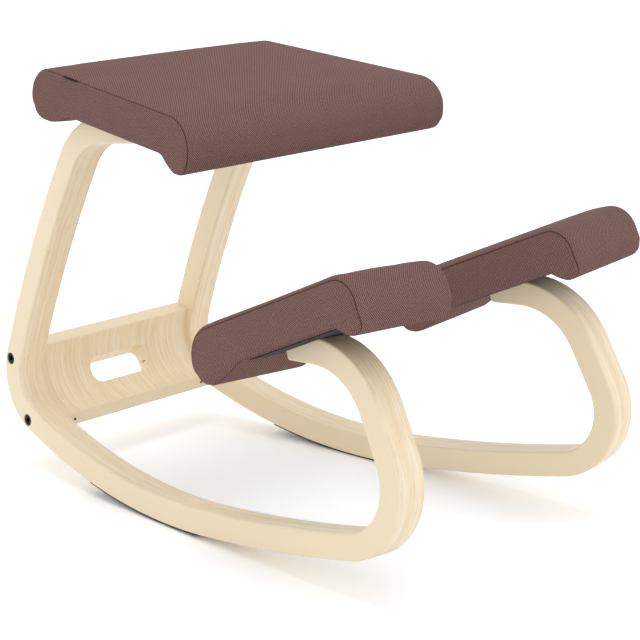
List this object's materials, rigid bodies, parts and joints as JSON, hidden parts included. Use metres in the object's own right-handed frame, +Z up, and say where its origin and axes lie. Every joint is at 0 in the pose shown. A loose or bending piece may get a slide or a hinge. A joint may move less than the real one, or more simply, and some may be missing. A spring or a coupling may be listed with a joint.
{
  "type": "kneeling chair",
  "caption": "Rocking kneeling chair: bent-wood side frames on curved runners, a curved crosspiece with a handle slot, a padded seat and padded knee rests.",
  "frame": {"origin": "on the floor, under the middle of the whole chair's box", "axes": "+Z up, -Y towards the knee rests, which is the way the sitter faces, +X the sitter's left"},
  "size_m": [0.4986, 0.7214, 0.5303],
  "materials": {
    "birch": "satin",
    "board": "matte",
    "upholstery": "matte",
    "foam": "matte",
    "lining": "matte",
    "tab_fabric": "matte",
    "runner_rubber": "matte",
    "black_steel": "satin",
    "zinc_steel": "satin",
    "dark_pin": "satin"
  },
  "bodies": {
    "root": {"right_side_frame": "birch", "left_side_frame": "birch", "crosspiece": "birch", "right_runner_strip": "runner_rubber", "left_runner_strip": "runner_rubber", "crosspiece_bolts": "black_steel", "crosspiece_inserts": "zinc_steel", "crosspiece_pins": "dark_pin", "seat_bolts": "black_steel", "knee_bolts": "black_steel", "seat_tee_nuts": "zinc_steel", "knee_tee_nuts": "zinc_steel", "seat_tab": "tab_fabric", "seat_cover": "upholstery", "seat_left_panel": "upholstery", "seat_right_panel": "upholstery", "seat_foam": "foam", "seat_underside_cloth": "lining", "seat_board": "board", "right_knee_cover": "upholstery", "right_knee_outer_panel": "upholstery", "right_knee_inner_panel": "upholstery", "right_knee_foam": "foam", "right_knee_underside_cloth": "lining", "right_knee_board": "board", "left_knee_cover": "upholstery", "left_knee_outer_panel": "upholstery", "left_knee_inner_panel": "upholstery", "left_knee_foam": "foam", "left_knee_underside_cloth": "lining", "left_knee_board": "board"}
  },
  "joints": []
}
